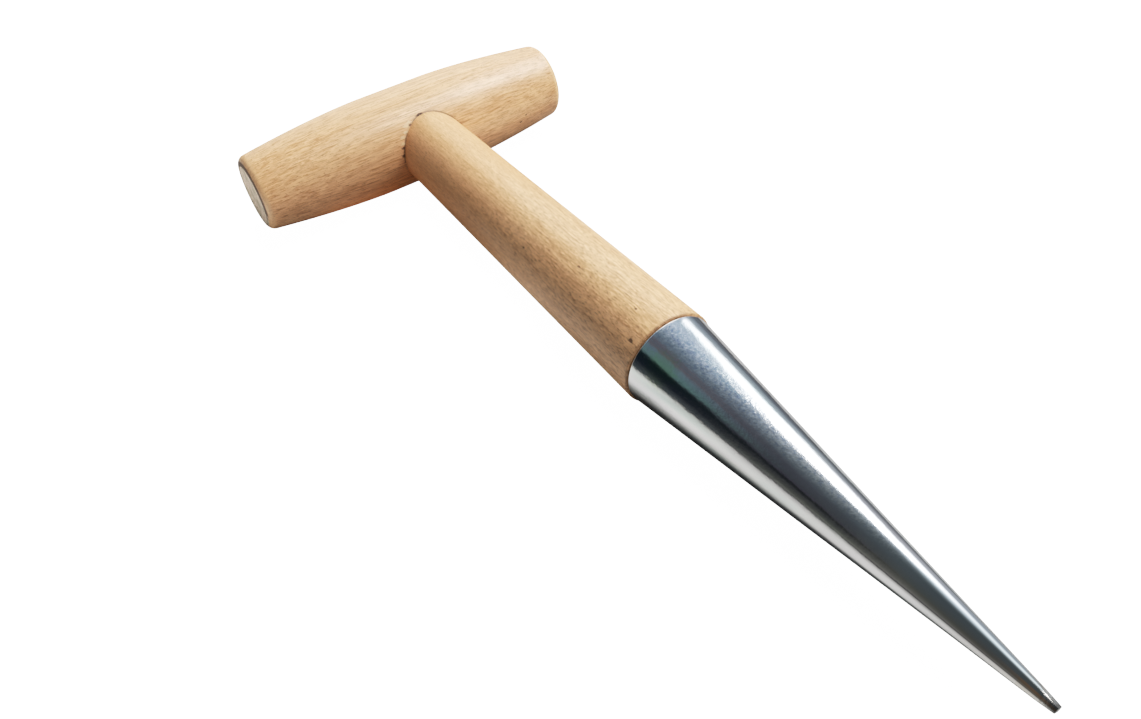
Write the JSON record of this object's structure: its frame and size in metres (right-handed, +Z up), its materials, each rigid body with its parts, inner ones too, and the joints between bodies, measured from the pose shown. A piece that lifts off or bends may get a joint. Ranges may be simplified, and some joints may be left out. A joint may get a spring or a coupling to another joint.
{
  "type": "hand dibber",
  "caption": "T-handled hand dibber: a turned wooden cross handle and stem with a hollow plated steel cone that ends in a ground point.",
  "frame": {"origin": "on the ground, below the middle of the tool's outer box, as it lies on its side", "axes": "+X along the cross handle, -Y down the stem toward the point, +Z up"},
  "size_m": [0.115, 0.28, 0.0334],
  "materials": {
    "beech_handle": "turned beech, satin varnish, grain along the handle",
    "beech_stem": "turned beech, satin varnish, grain along the stem",
    "zinc_plate": "bright zinc plate on rolled sheet, mottled satin",
    "ground_steel": "bare steel, ground",
    "nail_steel": "drawn wire, dull"
  },
  "bodies": {
    "root": {"cross_handle": "beech_handle", "stem": "beech_stem", "steel_cone": "zinc_plate", "ground_point": "ground_steel", "cone_nail": "nail_steel", "handle_brad": "nail_steel"}
  },
  "joints": []
}
